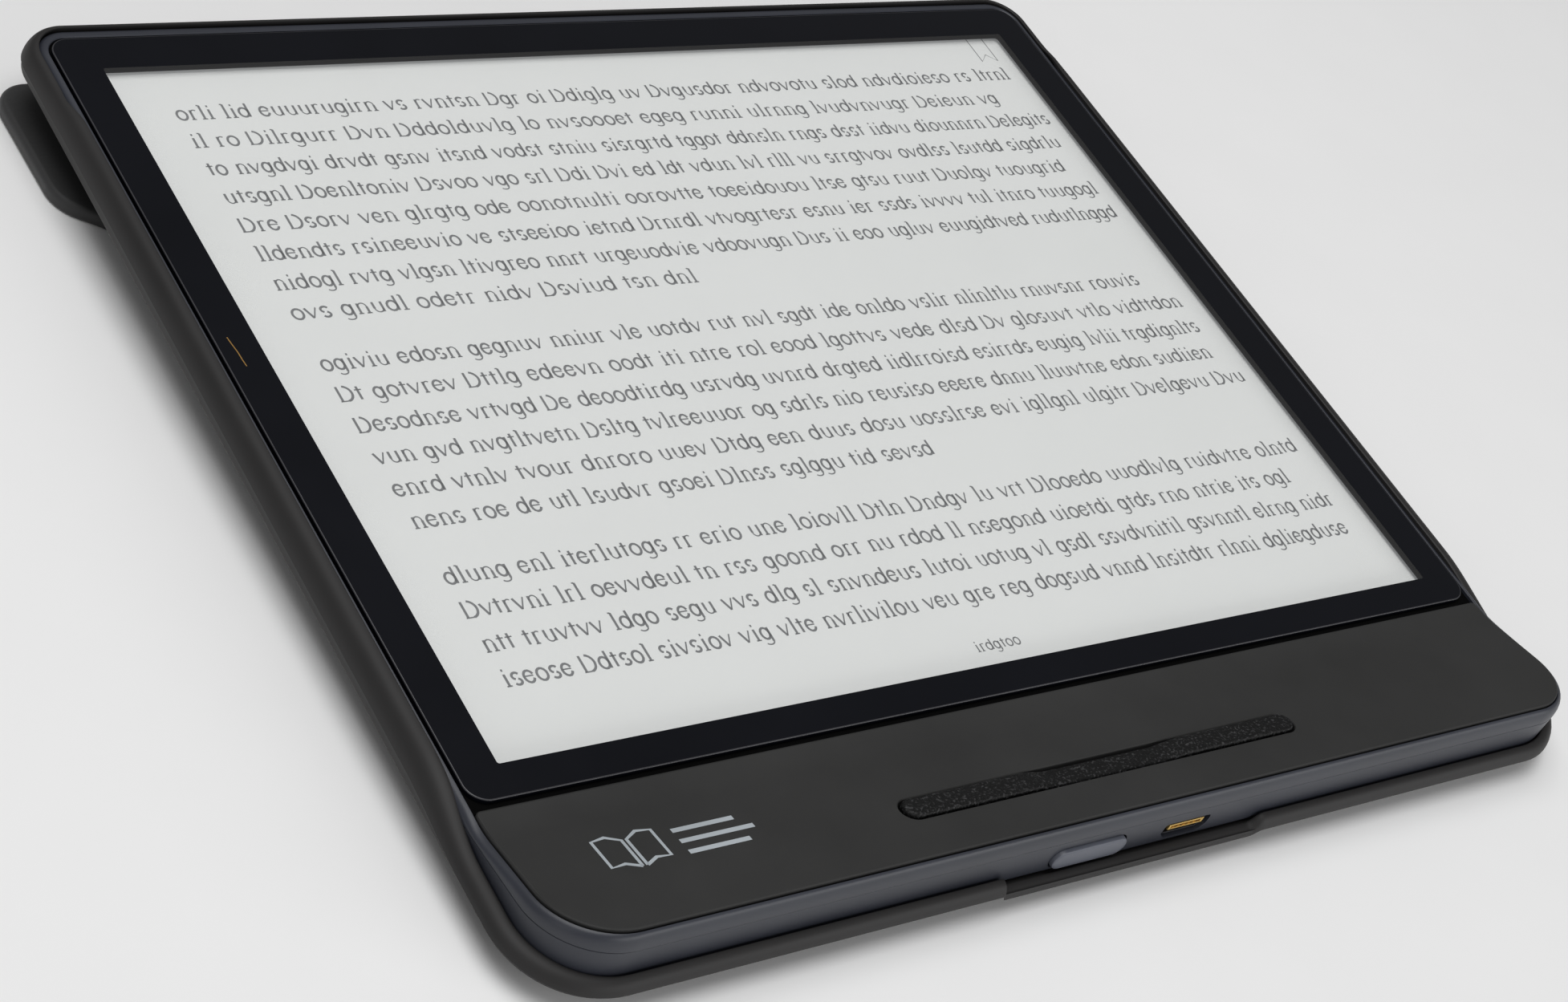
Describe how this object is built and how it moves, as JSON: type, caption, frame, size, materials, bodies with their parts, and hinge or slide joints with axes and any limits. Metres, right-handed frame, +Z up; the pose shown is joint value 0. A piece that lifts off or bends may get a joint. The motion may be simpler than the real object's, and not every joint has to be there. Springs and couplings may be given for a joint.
{
  "type": "e-reader",
  "caption": "E-reader with a raised page-turn wing, a rocker bar and a side power button, clipped into a tray cover whose lid is folded back behind it.",
  "frame": {"origin": "middle of the box's underside, on the surface that the folded-back lid lies on", "axes": "+X along the page-turn wing, to the right when the wing is nearest the reader; +Y away from the wing, towards the cover's spine; +Z up. The lid lies level and the reader leans 1.8 degrees down towards the wing"},
  "size_m": [0.183, 0.1656, 0.0126],
  "materials": {
    "lens_glass": "gloss with a fine anti-glare coat",
    "frame_plastic": "satin blue-grey",
    "wing_plastic": "fine matte, near black",
    "rocker_plastic": "matte black with a fine sparkling grain",
    "button_plastic": "satin blue-grey",
    "cover_shell": "soft-touch warm dark grey",
    "cover_skin": "smooth dark grey synthetic leather",
    "lining_cloth": "short-nap microfibre",
    "paper_white": "matte pale grey",
    "clear_film": "clear",
    "mask_ink": "black printed ink",
    "seal_rubber": "matte black",
    "led_parts": "pale yellow phosphor on a white strip",
    "flex_film": "amber polyimide",
    "plate_metal": "satin",
    "steel": "satin",
    "magnet_plate": "nickel plate",
    "board_laminate": "green solder mask",
    "chip_resin": "black moulded resin",
    "contact_gold": "gold-plated contacts on a black tongue",
    "cell_foil": "dull foil pouch",
    "lead_sheath": "satin coloured sheath",
    "antenna_ceramic": "white ceramic"
  },
  "bodies": {
    "reader_in_tray": {"front_lens": "lens_glass", "lens_gasket": "seal_rubber", "border_mask": "mask_ink", "touch_film": "clear_film", "light_guide": "clear_film", "led_strip": "led_parts", "epaper_panel": "paper_white", "display_flex": "flex_film", "chassis_plate": "plate_metal", "mid_frame": "frame_plastic", "rear_cover": "frame_plastic", "wing_plate": "wing_plastic", "rocker_pin": "steel", "button_board": "board_laminate", "page_switches": "chip_resin", "power_switch": "chip_resin", "main_board": "board_laminate", "shield_can": "steel", "processor": "chip_resin", "usb_shell": "steel", "usb_tongue": "contact_gold", "battery": "cell_foil", "battery_lead": "lead_sheath", "antenna": "antenna_ceramic", "hall_sensor": "chip_resin", "board_screws": "steel", "cover_tray": "cover_shell", "tray_lining": "lining_cloth", "tray_magnets": "magnet_plate"},
    "rocker": {"page_rocker": "rocker_plastic"},
    "power_key": {"power_button": "button_plastic"},
    "spine": {"cover_spine": "cover_skin"},
    "lid": {"cover_lid": "cover_skin", "lid_lining": "lining_cloth", "lid_magnets": "magnet_plate"}
  },
  "joints": [
    {"name": "cover_spine_hinge", "type": "hinge", "parent": "reader_in_tray", "child": "spine", "pos_m": [0, 0.08177, 0.00844], "axis": [1, 0, 0], "range_deg": [0, 180]},
    {"name": "cover_lid_hinge", "type": "hinge", "parent": "spine", "child": "lid", "pos_m": [0, 0.08055, 0.0011], "axis": [1, 0, 0], "range_deg": [0, 180]},
    {"name": "page_rocker_pivot", "type": "hinge", "parent": "reader_in_tray", "child": "rocker", "pos_m": [0, -0.07188, 0.00918], "axis": [0, 0.9782, -0.2075], "range_deg": [-0.6, 0.6], "stiffness_Nm_per_rad": 3.7},
    {"name": "power_button_press", "type": "slide", "parent": "reader_in_tray", "child": "power_key", "axis": [0, 0.9995, 0.0313], "range_m": [0, 0.00035], "stiffness_N_per_m": 4000}
  ]
}
